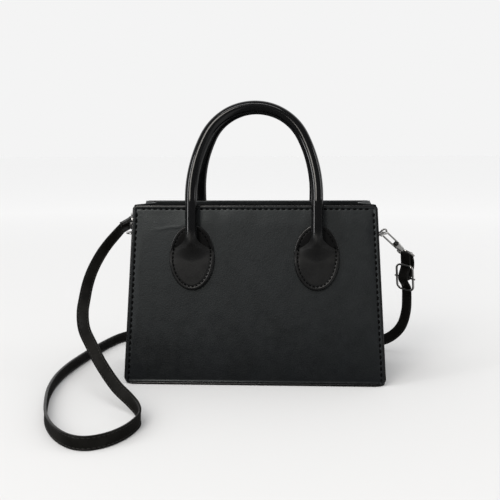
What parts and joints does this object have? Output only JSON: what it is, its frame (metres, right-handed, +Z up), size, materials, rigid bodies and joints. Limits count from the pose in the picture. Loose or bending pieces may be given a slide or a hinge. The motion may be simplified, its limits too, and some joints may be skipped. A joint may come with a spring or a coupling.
{
  "type": "top handle bag",
  "caption": "Small structured leather handbag with rolled top handles on oval tabs and a long narrow clip-on strap.",
  "frame": {"origin": "centre of the bag's base, on the surface it stands on", "axes": "+X to the right seen from the front, the front panel faces -Y, +Z up"},
  "size_m": [0.31, 0.319, 0.236],
  "materials": {
    "leather": "smooth, low sheen",
    "strap_leather": "smooth, low sheen",
    "lining": "matte twill",
    "board": "raw fibre board",
    "rope": "raw cord",
    "nickel": "polished"
  },
  "bodies": {
    "bag": {"base_panel": "leather", "base_board": "board", "base_lining": "lining", "front_panel": "leather", "rear_panel": "leather", "front_board": "board", "rear_board": "board", "left_gusset": "leather", "right_gusset": "leather", "front_lining": "lining", "rear_lining": "lining", "left_lining": "lining", "right_lining": "lining", "front_facing": "leather", "rear_facing": "leather", "slip_pocket": "lining", "front_magnet_washer": "nickel", "rear_magnet_washer": "nickel", "magnet_socket": "nickel", "magnet_stud": "nickel", "front_left_patch": "leather", "front_right_patch": "leather", "rear_left_patch": "leather", "rear_right_patch": "leather", "front_left_flare": "leather", "front_right_flare": "leather", "rear_left_flare": "leather", "rear_right_flare": "leather", "left_ring_tab": "leather", "right_ring_tab": "leather", "left_eye": "nickel", "right_eye": "nickel", "left_strap_loop": "strap_leather", "right_strap_loop": "strap_leather", "slider_frame": "nickel", "slider_bar": "nickel", "strap": "strap_leather"},
    "front_handle": {"front_handle_cover": "leather", "front_handle_core": "rope"},
    "rear_handle": {"rear_handle_cover": "leather", "rear_handle_core": "rope"},
    "left_ring": {"left_ring": "nickel"},
    "right_ring": {"right_ring": "nickel"},
    "left_clip": {"left_hook": "nickel", "left_gate_pin": "nickel"},
    "right_clip": {"right_hook": "nickel", "right_gate_pin": "nickel"},
    "left_gate": {"left_gate": "nickel"},
    "right_gate": {"right_gate": "nickel"}
  },
  "joints": [
    {"name": "front_handle_fold", "type": "hinge", "parent": "bag", "child": "front_handle", "pos_m": [0, -0.0393, 0.11892], "axis": [1, 0, 0], "range_deg": [-2, 95], "stiffness_Nm_per_rad": 0.12},
    {"name": "rear_handle_fold", "type": "hinge", "parent": "bag", "child": "rear_handle", "pos_m": [0, 0.0393, 0.11892], "axis": [-1, 0, 0], "range_deg": [-2, 95], "stiffness_Nm_per_rad": 0.12},
    {"name": "left_ring_swing", "type": "hinge", "parent": "bag", "child": "left_ring", "pos_m": [-0.10496, 0, 0.12334], "axis": [0, 1, 0], "range_deg": [-12, 12]},
    {"name": "right_ring_swing", "type": "hinge", "parent": "bag", "child": "right_ring", "pos_m": [0.10496, 0, 0.12334], "axis": [0, -1, 0], "range_deg": [-6, 5]},
    {"name": "left_clip_swivel", "type": "hinge", "parent": "bag", "child": "left_clip", "pos_m": [-0.1095, 0.00589, 0.12334], "axis": [-0.2001, 0.9724, 0.12], "range_deg": [-30, 30]},
    {"name": "right_clip_swivel", "type": "hinge", "parent": "bag", "child": "right_clip", "pos_m": [0.11093, 0.00498, 0.12334], "axis": [0.5463, 0.6677, -0.5058], "range_deg": [-60, 5]},
    {"name": "left_gate_swing", "type": "hinge", "parent": "left_clip", "child": "left_gate", "pos_m": [-0.11441, 0.03004, 0.12863], "axis": [0.9784, 0.2048, -0.0283], "range_deg": [0, 7.5], "stiffness_Nm_per_rad": 0.03, "springref_deg": -5.73},
    {"name": "right_gate_swing", "type": "hinge", "parent": "right_clip", "child": "right_gate", "pos_m": [0.12311, 0.0217, 0.10893], "axis": [-0.5059, 0.7443, 0.436], "range_deg": [0, 7.5], "stiffness_Nm_per_rad": 0.03, "springref_deg": -5.73}
  ]
}
